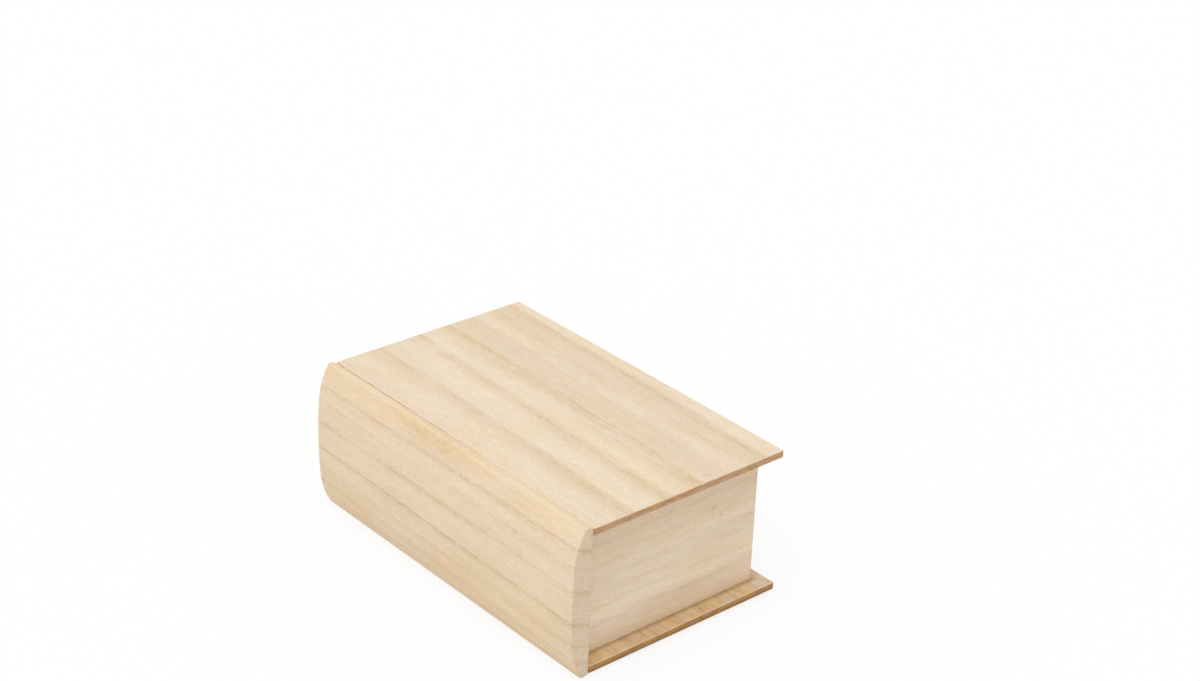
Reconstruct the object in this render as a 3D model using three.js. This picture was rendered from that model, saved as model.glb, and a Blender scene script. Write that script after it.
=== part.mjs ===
// A small wooden drawer box in the shape of a closed book lying flat.
// Two thin covers stand proud of the box at both ends and at the rear, like a hardback's covers round
// its pages, and the rounded spine is the front of a drawer that slides out between them.
// Millimetres, +Z up. X runs along the spine, the drawer opens towards -Y, and the origin is under the
// middle of the box, level with the spine's lower lip.

import * as THREE from "three";

// Overall size with the drawer closed
const LENGTH = 155;
const DEPTH = 100;
const HEIGHT = 62;

// Thickness of the boards
const PLYWOOD = 3;
const CARCASS_BOARD = 7;
const DRAWER_BOARD = 7.5;
const SPINE_BOARD = 9;

// How far the covers stand proud of the carcass
const END_OVERHANG = 7;
const REAR_OVERHANG = 5.5;

// Room left round the drawer inside the carcass
const SIDE_CLEARANCE = 0.5;
const BOTTOM_CLEARANCE = 0.5;
const TOP_CLEARANCE = 1.5;
const REAR_CLEARANCE = 6;

// Spine section: a nearly flat crown runs tangent into a tighter shoulder above and below it. Each
// shoulder turns over a small round lip that stands proud of the cover, and the spine's top and bottom
// edges slope from the lip to the cover's face at the seam
const CROWN_RADIUS = 206;
const CROWN_BAND = 33;
const SHOULDER_RADIUS = 31.7;
const LIP_RADIUS = 1.2;
const SPINE_LIP = 1;

// Sanded edges: the radius along a board's length, and the easing round its two ends
const ARRIS = 0.5;
const END_EASE = 0.35;
const SHARP = 0;

// Smoothness of the arcs
const CROWN_STEPS = 16;
const SHOULDER_STEPS = 20;
const LIP_STEPS = 8;
const ARRIS_STEPS = 4;
const END_EASE_STEPS = 3;

// Planes that the boards share, worked out from the driving sizes
const SEAM_Y = SPINE_BOARD - DEPTH / 2;
const COVER_REAR_Y = DEPTH / 2;
const CARCASS_REAR_Y = COVER_REAR_Y - REAR_OVERHANG;
const REAR_PANEL_FRONT_Y = CARCASS_REAR_Y - CARCASS_BOARD;
const DRAWER_REAR_Y = REAR_PANEL_FRONT_Y - REAR_CLEARANCE;
const COVER_END_X = LENGTH / 2;
const CARCASS_OUTER_X = COVER_END_X - END_OVERHANG;
const CARCASS_INNER_X = CARCASS_OUTER_X - CARCASS_BOARD;
const DRAWER_OUTER_X = CARCASS_INNER_X - SIDE_CLEARANCE;
const DRAWER_INNER_X = DRAWER_OUTER_X - DRAWER_BOARD;
const LOWER_COVER_Z = SPINE_LIP;
const CARCASS_FLOOR_Z = LOWER_COVER_Z + PLYWOOD;
const UPPER_COVER_Z = HEIGHT - SPINE_LIP - PLYWOOD;
const DRAWER_UNDER_Z = CARCASS_FLOOR_Z + BOTTOM_CLEARANCE;
const DRAWER_FLOOR_Z = DRAWER_UNDER_Z + PLYWOOD;
const DRAWER_TOP_Z = UPPER_COVER_Z - TOP_CLEARANCE;

// Wood finishes
const woods = {
  coverPly: new THREE.MeshStandardMaterial({ color: 0xecd5b6, roughness: 0.66, metalness: 0 }),
  panelWood: new THREE.MeshStandardMaterial({ color: 0xd9c3a8, roughness: 0.7, metalness: 0 }),
  spineWood: new THREE.MeshStandardMaterial({ color: 0xead0aa, roughness: 0.64, metalness: 0 }),
  drawerWood: new THREE.MeshStandardMaterial({ color: 0xcfa981, roughness: 0.72, metalness: 0 }),
  drawerPly: new THREE.MeshStandardMaterial({ color: 0xb08454, roughness: 0.74, metalness: 0 }),
};

// The grain of a board runs out along its extrusion. A section is drawn with u across and v up, and
// these turns lay the grain along X, with u towards the front, or along Y, with u towards +X.
const GRAIN_ALONG_X = new THREE.Matrix4().makeBasis(
  new THREE.Vector3(0, -1, 0),
  new THREE.Vector3(0, 0, 1),
  new THREE.Vector3(-1, 0, 0),
);
const GRAIN_ALONG_Y = new THREE.Matrix4().makeBasis(
  new THREE.Vector3(1, 0, 0),
  new THREE.Vector3(0, 0, 1),
  new THREE.Vector3(0, -1, 0),
);

// A section run out along the grain, centred on its length, with the arrises of both ends eased.
function runOut(section, length, grain) {
  const geometry = new THREE.ExtrudeGeometry(section, {
    depth: length - 2 * END_EASE,
    bevelEnabled: true,
    bevelThickness: END_EASE,
    bevelSize: END_EASE,
    bevelOffset: -END_EASE,
    bevelSegments: END_EASE_STEPS,
  });
  geometry.translate(0, 0, END_EASE - length / 2);
  geometry.applyMatrix4(grain);
  return geometry;
}

// Points along an arc from one angle to the other. The first is left out where it would repeat the end
// of the arc before.
function arc(centreU, centreV, radius, from, to, steps, joined) {
  const points = new THREE.EllipseCurve(centreU, centreV, radius, radius, from, to).getPoints(steps);
  return joined ? points.slice(1) : points;
}

// A rectangle centred on the origin. A free edge is rounded and a glued or meeting edge stays sharp:
// the radii are given for the corners at +u+v, -u+v, -u-v and +u-v.
function boardSection(width, height, radii) {
  const corners = [
    { u: width / 2, v: height / 2, start: 0 },
    { u: -width / 2, v: height / 2, start: Math.PI / 2 },
    { u: -width / 2, v: -height / 2, start: Math.PI },
    { u: width / 2, v: -height / 2, start: (3 * Math.PI) / 2 },
  ];
  const outline = corners.flatMap(({ u, v, start }, i) => {
    const radius = radii[i];
    if (radius === SHARP) {
      return [new THREE.Vector2(u, v)];
    }
    const centreU = u - Math.sign(u) * radius;
    const centreV = v - Math.sign(v) * radius;
    return arc(centreU, centreV, radius, start, start + Math.PI / 2, ARRIS_STEPS, false);
  });
  return new THREE.Shape(outline);
}

// A board that fills the box between two corners, named, and made of one of the woods.
function board(name, wood, [x0, y0, z0], [x1, y1, z1], grain, radii) {
  const alongX = grain === GRAIN_ALONG_X;
  const width = alongX ? y1 - y0 : x1 - x0;
  const length = alongX ? x1 - x0 : y1 - y0;
  const section = boardSection(width, z1 - z0, radii);
  const mesh = new THREE.Mesh(runOut(section, length, grain), wood);
  mesh.name = name;
  mesh.position.set((x0 + x1) / 2, (y0 + y1) / 2, (z0 + z1) / 2);
  return mesh;
}

// The spine's section, with u forward from the seam and v up from mid height. Each arc's centre lies on
// the line through the end of the arc before it, so the crown, shoulders and lips join smoothly, and the
// sloping edges run from the covers' faces tangent to the lips.
function spineSection() {
  const crownTurn = Math.asin(CROWN_BAND / 2 / CROWN_RADIUS);
  const crownU = SPINE_BOARD - CROWN_RADIUS;
  const shoulderU = crownU + (CROWN_RADIUS - SHOULDER_RADIUS) * Math.cos(crownTurn);
  const shoulderV = (CROWN_RADIUS - SHOULDER_RADIUS) * Math.sin(crownTurn);
  const lipV = HEIGHT / 2 - LIP_RADIUS;
  const rise = lipV - shoulderV;
  const reach = Math.sqrt((SHOULDER_RADIUS - LIP_RADIUS) ** 2 - rise ** 2);
  const lipU = shoulderU + reach;
  const shoulderTurn = Math.atan2(rise, reach);
  const coverV = HEIGHT / 2 - SPINE_LIP;
  const slope = Math.atan2(lipV - coverV, lipU) + Math.asin(LIP_RADIUS / Math.hypot(lipU, lipV - coverV));
  const lipTurn = Math.PI / 2 + slope;
  return new THREE.Shape([
    new THREE.Vector2(0, -coverV),
    ...arc(lipU, -lipV, LIP_RADIUS, -lipTurn, -shoulderTurn, LIP_STEPS, false),
    ...arc(shoulderU, -shoulderV, SHOULDER_RADIUS, -shoulderTurn, -crownTurn, SHOULDER_STEPS, true),
    ...arc(crownU, 0, CROWN_RADIUS, -crownTurn, crownTurn, CROWN_STEPS, true),
    ...arc(shoulderU, shoulderV, SHOULDER_RADIUS, crownTurn, shoulderTurn, SHOULDER_STEPS, true),
    ...arc(lipU, lipV, LIP_RADIUS, shoulderTurn, lipTurn, LIP_STEPS, true),
    new THREE.Vector2(0, coverV),
  ]);
}

// The drawer's front: the book's spine, as long as the covers and a lip higher than them at each edge.
function drawerFront() {
  const geometry = runOut(spineSection(), LENGTH, GRAIN_ALONG_X);
  const mesh = new THREE.Mesh(geometry, woods.spineWood);
  mesh.name = "drawer_front";
  mesh.position.set(0, SEAM_Y, HEIGHT / 2);
  return mesh;
}

// A cover: rounded along its rear edge, and sharp along the seam where it meets the spine.
function cover(name, underZ) {
  const low = [-COVER_END_X, SEAM_Y, underZ];
  const high = [COVER_END_X, COVER_REAR_Y, underZ + PLYWOOD];
  return board(name, woods.coverPly, low, high, GRAIN_ALONG_X, [SHARP, ARRIS, ARRIS, SHARP]);
}

// A carcass side, glued between the covers: side is -1 at the left and 1 at the right.
function sidePanel(name, side) {
  const xs = [side * CARCASS_INNER_X, side * CARCASS_OUTER_X].sort((a, b) => a - b);
  const low = [xs[0], SEAM_Y, CARCASS_FLOOR_Z];
  const high = [xs[1], CARCASS_REAR_Y, UPPER_COVER_Z];
  return board(name, woods.panelWood, low, high, GRAIN_ALONG_Y, [SHARP, SHARP, SHARP, SHARP]);
}

// The carcass rear, glued between the two sides and the covers.
function rearPanel() {
  const low = [-CARCASS_INNER_X, REAR_PANEL_FRONT_Y, CARCASS_FLOOR_Z];
  const high = [CARCASS_INNER_X, CARCASS_REAR_Y, UPPER_COVER_Z];
  return board("rear_panel", woods.panelWood, low, high, GRAIN_ALONG_X, [SHARP, SHARP, SHARP, SHARP]);
}

// A drawer side, glued on the drawer's bottom and behind the spine, with its top edges rounded.
function drawerSide(name, side) {
  const xs = [side * DRAWER_INNER_X, side * DRAWER_OUTER_X].sort((a, b) => a - b);
  const low = [xs[0], SEAM_Y, DRAWER_FLOOR_Z];
  const high = [xs[1], DRAWER_REAR_Y, DRAWER_TOP_Z];
  return board(name, woods.drawerWood, low, high, GRAIN_ALONG_Y, [ARRIS, ARRIS, SHARP, SHARP]);
}

// The drawer's back, between its two sides.
function drawerBack() {
  const low = [-DRAWER_INNER_X, DRAWER_REAR_Y - DRAWER_BOARD, DRAWER_FLOOR_Z];
  const high = [DRAWER_INNER_X, DRAWER_REAR_Y, DRAWER_TOP_Z];
  return board("drawer_back", woods.drawerWood, low, high, GRAIN_ALONG_X, [ARRIS, ARRIS, SHARP, SHARP]);
}

// The drawer's bottom, a thin board under the sides and the back whose edges show.
function drawerBottom() {
  const low = [-DRAWER_OUTER_X, SEAM_Y, DRAWER_UNDER_Z];
  const high = [DRAWER_OUTER_X, DRAWER_REAR_Y, DRAWER_FLOOR_Z];
  return board("drawer_bottom", woods.drawerPly, low, high, GRAIN_ALONG_X, [SHARP, SHARP, ARRIS, ARRIS]);
}

const carcass = new THREE.Group();
carcass.add(
  cover("bottom_cover", LOWER_COVER_Z),
  cover("top_cover", UPPER_COVER_Z),
  sidePanel("left_side_panel", -1),
  sidePanel("right_side_panel", 1),
  rearPanel(),
);

const drawer = new THREE.Group();
drawer.add(
  drawerFront(),
  drawerSide("drawer_left_side", -1),
  drawerSide("drawer_right_side", 1),
  drawerBack(),
  drawerBottom(),
);

const bookBox = new THREE.Group();
bookBox.add(carcass, drawer);

export default bookBox;
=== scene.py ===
"""A small drawer box of bare wood in the shape of a closed book, dressed around its solid model.

Ten boards are worked out as surfaces in the places of the model's nodes, finished with wood made of
shader nodes, and set on a pale floor in soft light.
"""

import inspect
import math

import bpy
import numpy as np
from mathutils import Matrix, Vector


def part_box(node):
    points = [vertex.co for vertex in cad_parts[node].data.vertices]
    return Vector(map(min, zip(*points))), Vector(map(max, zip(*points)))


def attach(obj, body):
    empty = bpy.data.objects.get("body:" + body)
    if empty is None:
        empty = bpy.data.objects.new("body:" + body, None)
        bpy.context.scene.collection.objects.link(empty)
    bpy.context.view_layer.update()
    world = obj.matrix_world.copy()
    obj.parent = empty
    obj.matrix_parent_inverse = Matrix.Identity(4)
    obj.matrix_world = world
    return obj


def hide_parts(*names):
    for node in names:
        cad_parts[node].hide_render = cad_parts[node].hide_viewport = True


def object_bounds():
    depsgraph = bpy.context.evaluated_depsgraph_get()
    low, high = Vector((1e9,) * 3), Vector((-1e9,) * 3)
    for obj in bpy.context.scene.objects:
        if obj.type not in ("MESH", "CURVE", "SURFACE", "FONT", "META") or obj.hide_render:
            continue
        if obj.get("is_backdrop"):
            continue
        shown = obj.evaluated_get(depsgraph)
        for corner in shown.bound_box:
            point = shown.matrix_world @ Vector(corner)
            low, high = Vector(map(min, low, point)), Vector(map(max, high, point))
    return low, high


bl_info = {
    "name": "Book Box",
    "version": (1, 0, 0),
    "blender": (4, 5, 0),
    "location": "3D View > Sidebar > Book Box",
    "description": "Builds the boards, bare wood finishes, stage and camera of a book-shaped drawer box",
    "category": "Object",
}

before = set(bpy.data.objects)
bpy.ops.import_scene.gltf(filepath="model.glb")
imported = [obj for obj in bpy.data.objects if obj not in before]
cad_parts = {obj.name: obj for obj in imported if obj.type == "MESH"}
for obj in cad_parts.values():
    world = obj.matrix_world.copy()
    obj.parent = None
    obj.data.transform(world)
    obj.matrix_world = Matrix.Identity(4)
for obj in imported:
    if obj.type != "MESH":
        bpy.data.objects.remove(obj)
CAD_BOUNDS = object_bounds()

MM = 0.001

# Points of the surfaces, in millimetres: their spacing along a straight run, the distance of those that
# hold a flat face beside a rounding, and the least radius
POINT_SPACING = 1.5
END_SUPPORT = 0.08
SIDE_SUPPORT = 0.06
LEAST_RADIUS = 0.02

# Steps of a rounding and of a flat cap, and the scale of the cap's first ring
EASE_STEPS = 5
CORNER_STEPS = 5
CAP_STEPS = 6
FIRST_CAP_SCALE = 0.99

# Edges that turn by more than this are shaded sharp
SHARP_ANGLE = math.radians(35)

# Wavelengths of an uneven edge, in millimetres
WAVES = (11.0, 23.0, 41.0)

# Board frames: rows are the directions along the grain, across the board and through it
FLAT = ((1, 0, 0), (0, 1, 0), (0, 0, 1))
SIDE = ((0, 1, 0), (0, 0, 1), (1, 0, 0))
UPRIGHT = ((1, 0, 0), (0, 0, 1), (0, -1, 0))

# Spine section in millimetres: the solid model's, but with rounder lips and back corners
SPINE_THICKNESS = 9.0
CROWN_RADIUS = 206.0
CROWN_BAND = 33.0
SHOULDER_RADIUS = 31.7
LIP_RADIUS = 1.6
SPINE_LIP = 1.0
BACK_RADIUS = 0.12
SPINE_HALF_HEIGHT = 31.0

# Steps of the arcs of that section, and points of its flat back
BACK_STEPS = 6
LIP_STEPS = 12
SHOULDER_STEPS = 24
CROWN_STEPS = 30
FLAT_BACK_POINTS = 30

# The open seam: how far right of the middle it ends as a share of the half length, the power of its
# shape, how uneven it is, and how far from the edge it fades out, in millimetres
SEAM_REACH = 0.3
SEAM_POWER = 0.3
SEAM_UNEVENNESS = 0.3
SEAM_FADE = 3.0

# The camera, found by matching the straight edges of the box: millimetres and pixels of a 1200 x 681 frame
CAMERA_AT = (605.290, -505.424, 488.420)
CAMERA_RIGHT = (0.64726, 0.76156, 0.03300)
CAMERA_UP = (-0.36271, 0.26962, 0.89204)
CAMERA_BACK = (0.67045, -0.58935, 0.45074)
FOCAL_PIXELS = 2389.2
FRAME_WIDTH = 1200
SENSOR_WIDTH = 36.0

# Stage: the way to the main lamp, and half the floor's width in metres
KEY_DIRECTION = (0.04, -0.105, 0.25)
FLOOR_REACH = 4.0

# Distance of the nodes in the editor
NODE_SPACING = 220

# Kinds of the group sockets whose names end in these words; all others are numbers
SOCKET_KINDS = {
    **dict.fromkeys(("Position", "Size", "Centre", "Foot"), "Vector"),
    **dict.fromkeys(("Colour", "Color", "Pale", "Face"), "Color"),
}

# Patterns of noise: length along the grain and width across it in millimetres, and its detail and
# roughness where they aren't the usual 2 and 0.5
RIPPLE_NOISE = (7.0, 2.2, 4.0, 0.65)
LARGE_PATCH_NOISE = (24.0, 5.0)
SMALL_PATCH_NOISE = (5.0, 1.1, 2.0, 0.6)
DUST_NOISE = (9.0, 9.0)
KNOT_NOISE = (1.1, 0.5, 2.0, 0.6)
STAIN_NOISE = (5.0, 1.4, 3.0, 0.65)
PLY_NOISE = (12.0, 12.0)
NOISE_MEAN = 0.5

# Fibres: shares of the streaks' length and width, and weights, of streaks, fibres and fuzz; the shares of
# the flecks; the detail and roughness of all four; and how far from its middle a pore ends
FIBRE_LAYERS = ((1.0, 1.0, 0.9), (0.2, 0.45, 0.4), (0.05, 0.3, 0.8))
FLECK_SHARES = (0.02, 0.3)
FIBRE_DETAIL = (3.0, 0.6)
PORE_RANGE = (0.34, 0.1)

# Growth lines: width of the slow wander as a share of its length, and how strong the lines are in large
# and small patches, as rows of low and high noise and the strength there; and where a line's tail bends
WANDER_WIDTH = 0.3
LARGE_PATCHES = (0.3, 0.65, 0.6, 1.1)
SMALL_PATCHES = (0.3, 0.68, 0.55, 1.4)
TAIL_BEND = 0.25

# Mottle: length, width and weights of its quick part as shares of the slow part's
QUICK_MOTTLE_LENGTH = 0.16
QUICK_MOTTLE_WIDTH = 0.2
QUICK_MOTTLE_WEIGHTS = (1.0, 0.7, 1.0)

# Where masks begin and are full, in millimetres: inside a board's end and its long edge, below the upper
# face of a sheet, and above its lower one
END_GRAIN_RANGE = (0.45, 0.05)
SIDE_GRAIN_RANGE = (0.3, 0.05)
RIM_TOP_RANGE = (0.12, 0.36)
RIM_FOOT_RANGE = (0.0, 0.06)

# Where a knot's dot and halo and a stain begin and are full, in ovals from the centre, how ragged a knot
# and the painted corner shade are, and how a stain's patches go by its noise
DOT_RANGE = (1.1, 0.3)
HALO_RANGE = (3.4, 0.6)
STAIN_RANGE = (1.0, 0.2)
KNOT_RAGGEDNESS = 1.2
DUST_RAGGEDNESS = 0.9
STAIN_PATCHES = (0.4, 0.64, 0.3, 1.0)

# Plies, in half thicknesses of the sheet: how far they waver, how far outside and inside its share the
# core's colour begins and is full, and how far a glue line reaches each way
PLY_WAVER = 0.12
CORE_OUTSIDE = 0.06
CORE_INSIDE = 0.02
GLUE_REACH = 0.08

# Cut edge: size of its patches, how warm and dark ones go by their noise, and the strength of the long
# edges' colour, of the glue lines and of the fibres
CUT_PATCH_SIZE = (6.0, 6.0, 1.3)
CUT_PATCH_DETAIL = (3.0, 0.6)
WARM_PATCHES = (0.42, 0.68)
DARK_PATCHES = (0.46, 0.72, 0.0, 0.6)
SIDE_PLY_STRENGTH = 0.9
GLUE_STRENGTH = 0.35
CUT_EDGE_GRAIN = 0.5

# Bare wood: how much red, green and blue go with tone and with warmth, and end grain's fibres and lines
TONE_SHARES = (1.0, 1.15, 1.5)
WARMTH_SHARES = (0.0, -0.5, -1.8)
END_FIBRES = 0.3
END_LINES = 0.8

# Growth lines and shades of a face that the photograph doesn't show: the most lines, the number of
# shades, and what is added to the lines' seed for the shades
MOST_LINES = 7
SHADE_COUNT = 5
SHADE_SEED = 50

# A pin knot: half its length, width and depth for each unit of size, and how strong halo and dot are
KNOT_SHAPE = (1.6, 1.0, 2.0)
HALO_STRENGTH = 0.25
DOT_STRENGTH = 0.45

# The inner face of a drawer's board, darkened and warmed as painted shade: how deep in the board its tint
# begins and is full, in millimetres, and a wall's tints, as rows of high, low, share above and share
# below, where high and low are places across the wall as shares of its half width
TINT_DEPTHS = (1.5, 0.2)
WALL_TINTS = ((1.0, 0.4, 0.6, 1.0), (0.8, -0.3, 0.0, 0.85))

# The pale upper edge of a drawer's wall, and the painted shade round the foot of the box
UPPER_EDGE_STRENGTH = 0.85
UPPER_EDGE_GRAIN = 0.22
DUST_REACH = 2.6
DUST_STRENGTH = 0.52

# Surface of the wood: its roughness, and what fibres and end grain add to it; the height of lines and
# pores against the fibres; the bump's strength and its depth in millimetres; and the specular level
ROUGHNESS = 0.62
FIBRE_ROUGHNESS = 0.2
END_ROUGHNESS = 0.12
LINE_HEIGHT = -0.2
PORE_HEIGHT = -0.6
BUMP_STRENGTH = 0.4
BUMP_DEPTH = 0.08
SPECULAR_LEVEL = 0.3


def linear(red, green, blue):
    """An sRGB colour from 0 to 255 as linear light."""
    shares = (red / 255, green / 255, blue / 255)
    return tuple(c / 12.92 if c <= 0.04045 else ((c + 0.055) / 1.055) ** 2.4 for c in shares)


def length(name, description, default):
    """A length property in metres."""
    return bpy.props.FloatProperty(
        name=name, description=description, default=default, min=0.0, unit="LENGTH", precision=5
    )


def factor(name, description, default):
    """A property from 0 to 1."""
    return bpy.props.FloatProperty(
        name=name, description=description, default=default, min=0.0, max=1.0, subtype="FACTOR"
    )


def colour(name, description, *code):
    """A colour property, given as sRGB from 0 to 255."""
    return bpy.props.FloatVectorProperty(
        name=name,
        description=description,
        default=linear(*code),
        min=0.0,
        max=1.0,
        size=3,
        subtype="COLOR",
    )


class BookBoxEdges(bpy.types.PropertyGroup):
    """How the boards' edges are sanded and how the drawer closes."""

    arris: length("Arris", "Radius of a free, sanded edge", 0.45 * MM)
    crisp: length("Crisp edge", "Radius of an edge that is glued or meets another board", 0.1 * MM)
    end_ease: length("End ease", "Radius round the ends of a board", 0.3 * MM)
    unevenness: factor("Unevenness", "How much the radius of an arris changes along it", 0.3)
    spine_ease: length("Spine ease", "Radius round the ends of the spine", 0.8 * MM)
    seam_gap: length("Seam gap", "Gap between the spine and the covers at the left end", 0.42 * MM)
    seam_step: length("Seam step", "Step from the covers up to the spine at the right end", 0.3 * MM)


class BookBoxColours(bpy.types.PropertyGroup):
    """The colours of the bare wood and of the floor."""

    cover: colour("Cover", "Face of the top cover", 240, 221, 193)
    cover_line: colour("Cover line", "Growth lines of the top cover", 211, 179, 135)
    cover_shade: colour("Cover shade", "Broad shades of the top cover", 221, 196, 167)
    # Paler arrises of both covers: partly sanded wood, partly a painted highlight
    cover_arris: colour("Cover arris", "Sanded edges of both covers", 240, 222, 196)
    cover_rim: colour("Cover rim", "Cut edge of the top cover", 204, 168, 128)
    cover_rim_warm: colour("Cover rim warm", "Orange patches of the top cover's cut edge", 206, 154, 104)
    cover_rim_dark: colour("Cover rim dark", "Dark patches of the top cover's cut edge", 170, 130, 90)
    cover_side: colour("Cover side", "Long edges of the top cover", 250, 224, 184)
    # The bottom cover's face and lines: browner wood, and darker in part as painted shade, since the box
    # shades its ledge
    ledge: colour("Ledge", "Face of the bottom cover", 220, 190, 148)
    ledge_line: colour("Ledge line", "Growth lines of the bottom cover", 178, 132, 84)
    ledge_rim: colour("Ledge rim", "Cut edge of the bottom cover", 185, 142, 88)
    ledge_rim_warm: colour("Ledge rim warm", "Orange patches of the bottom cover's cut edge", 189, 134, 74)
    ledge_rim_dark: colour("Ledge rim dark", "Dark patches of the bottom cover's cut edge", 142, 101, 59)
    spine: colour("Spine", "Face of the spine", 242, 221, 190)
    spine_line: colour("Spine line", "Growth lines of the spine", 209, 176, 134)
    spine_shade: colour("Spine shade", "Broad warm shades of the spine", 238, 212, 176)
    spine_end: colour("Spine end", "End grain of the spine", 228, 207, 178)
    panel: colour("Panel", "Face of the carcass's panels", 241, 222, 194)
    panel_line: colour("Panel line", "Growth lines of the panels", 200, 164, 128)
    # On the right side panel this colour is partly painted shade, at the top and at the foot
    panel_shade: colour("Panel shade", "Broad pink shades of the panels", 229, 203, 174)
    panel_end: colour("Panel end", "End grain of the panels", 232, 210, 180)
    panel_edge: colour("Panel edge", "Corners of the panels", 236, 204, 164)
    drawer: colour("Drawer", "Face of the drawer's boards", 240, 211, 178)
    drawer_line: colour("Drawer line", "Growth lines of the drawer's boards", 190, 134, 80)
    # Darker than the other boards' lines: the wood's bands, and in part painted shade on the drawer's left
    # wall
    drawer_streak: colour("Drawer streaks", "Dark bands on the drawer's left side", 164, 106, 60)
    drawer_shade: colour("Drawer shade", "Broad shades of the drawer's boards", 222, 186, 146)
    drawer_end: colour("Drawer end", "End grain of the drawer's boards", 208, 176, 142)
    drawer_edge: colour("Drawer edge", "Top edges of the drawer's boards", 246, 223, 195)
    # A warm tint of painted shade, laid over the drawer's inner faces
    drawer_inside: colour("Drawer inside", "Tint of the drawer's inner faces", 239, 219, 152)
    drawer_ply: colour("Drawer bottom", "Face of the drawer's bottom", 222, 184, 138)
    drawer_rim: colour("Drawer rim", "Cut edge of the drawer's bottom", 168, 122, 78)
    pore: colour("Pore", "Pores and flecks in the wood", 168, 130, 92)
    stain: colour("Stain", "Tint of the stained patches", 250, 241, 227)
    floor: colour("Floor", "Pale floor under the box", 236, 236, 236)


class BookBoxLight(bpy.types.PropertyGroup):
    """How the stage is lit."""

    sky: bpy.props.FloatProperty(
        name="Sky", description="Strength of the even light all round", default=0.74, min=0.0
    )
    key: bpy.props.FloatProperty(
        name="Key", description="Strength of the soft main lamp", default=0.86, min=0.0
    )
    softness: bpy.props.FloatProperty(
        name="Softness", description="Width of the main lamp", default=math.radians(55), subtype="ANGLE"
    )
    shadow: factor("Shadow", "How much of the floor that the camera sees is lit by the lamps", 0.18)


def to_mesh(name, points, faces):
    """Makes an object at the origin from arrays of points in metres and of faces, shaded smooth but for
    its sharp edges."""
    mesh = bpy.data.meshes.new(name)
    mesh.from_pydata(points, [], faces)
    mesh.validate()
    mesh.shade_smooth()
    mesh.set_sharp_from_angle(angle=SHARP_ANGLE)
    made = bpy.data.objects.new(name, mesh)
    bpy.context.scene.collection.objects.link(made)
    return made


def close_rings(rings):
    """Points and faces of a closed surface from rings of points, an array of ring, point and coordinate.

    Point j of ring i joins point j + 1 of the same ring and the points of ring i + 1, so the face between
    them is (i, j), (i, j+1), (i+1, j+1), (i+1, j). One point at the middle of the first ring and one at
    the middle of the last close the ends with fans.
    """
    count, around = rings.shape[:2]
    index = np.arange(count * around).reshape(count, around)
    ahead = np.roll(index, -1, axis=1)
    sides = np.stack([index[:-1], ahead[:-1], ahead[1:], index[1:]], axis=-1).reshape(-1, 4)
    first, last = count * around, count * around + 1
    poles = np.stack([rings[0].mean(axis=0), rings[-1].mean(axis=0)])
    start = np.stack([np.full(around, first), ahead[0], index[0]], axis=-1)
    end = np.stack([np.full(around, last), index[-1], ahead[-1]], axis=-1)
    points = np.concatenate([rings.reshape(-1, 3), poles])
    return points, sides.tolist() + start.tolist() + end.tolist()


def stations(half_length, ease):
    """Places of the rings along a board: position, inset and cap scale.

    Along the body the inset is 0. Round each end the ring follows a quarter circle of the easing radius:
    position = end - ease (1 - sin t), inset = ease (1 - cos t), for t from 0 to a right angle. On the
    flat cap the position stays and the ring shrinks to its middle by the scale.
    """
    body_end = half_length - ease
    body = np.linspace(-body_end, body_end, max(3, int(2 * body_end / POINT_SPACING)) + 1)
    body = np.sort(np.concatenate([body, [END_SUPPORT - body_end, body_end - END_SUPPORT]]))
    turn = np.linspace(0, math.pi / 2, EASE_STEPS + 1)[1:]
    round_at = body_end + ease * np.sin(turn)
    round_in = ease * (1 - np.cos(turn))
    cap = np.concatenate([[FIRST_CAP_SCALE], np.linspace(1, 0, CAP_STEPS + 1)[1:-1]])
    at_end = np.full(len(cap), half_length)
    ease_in = np.full(len(cap), ease)
    position = np.concatenate([-at_end, -round_at[::-1], body, round_at, at_end])
    inset = np.concatenate([ease_in, round_in[::-1], np.zeros(len(body)), round_in, ease_in])
    scale = np.concatenate([cap[::-1], np.ones(len(position) - 2 * len(cap)), cap])
    return position, inset, scale


def wavering(position, random):
    """A smooth irregular line from -1 to 1 along a board: the mean of sines of several wavelengths."""
    phases = random.uniform(0, 2 * math.pi, len(WAVES))
    return sum(np.sin(2 * math.pi * position / w + p) for w, p in zip(WAVES, phases)) / len(WAVES)


def set_along(loops, position):
    """Rings of three coordinates from loops of two: each loop's position along the board comes first."""
    along = np.broadcast_to(position[:, None, None], loops.shape[:2] + (1,))
    return np.concatenate([along, loops], axis=-1)


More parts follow.
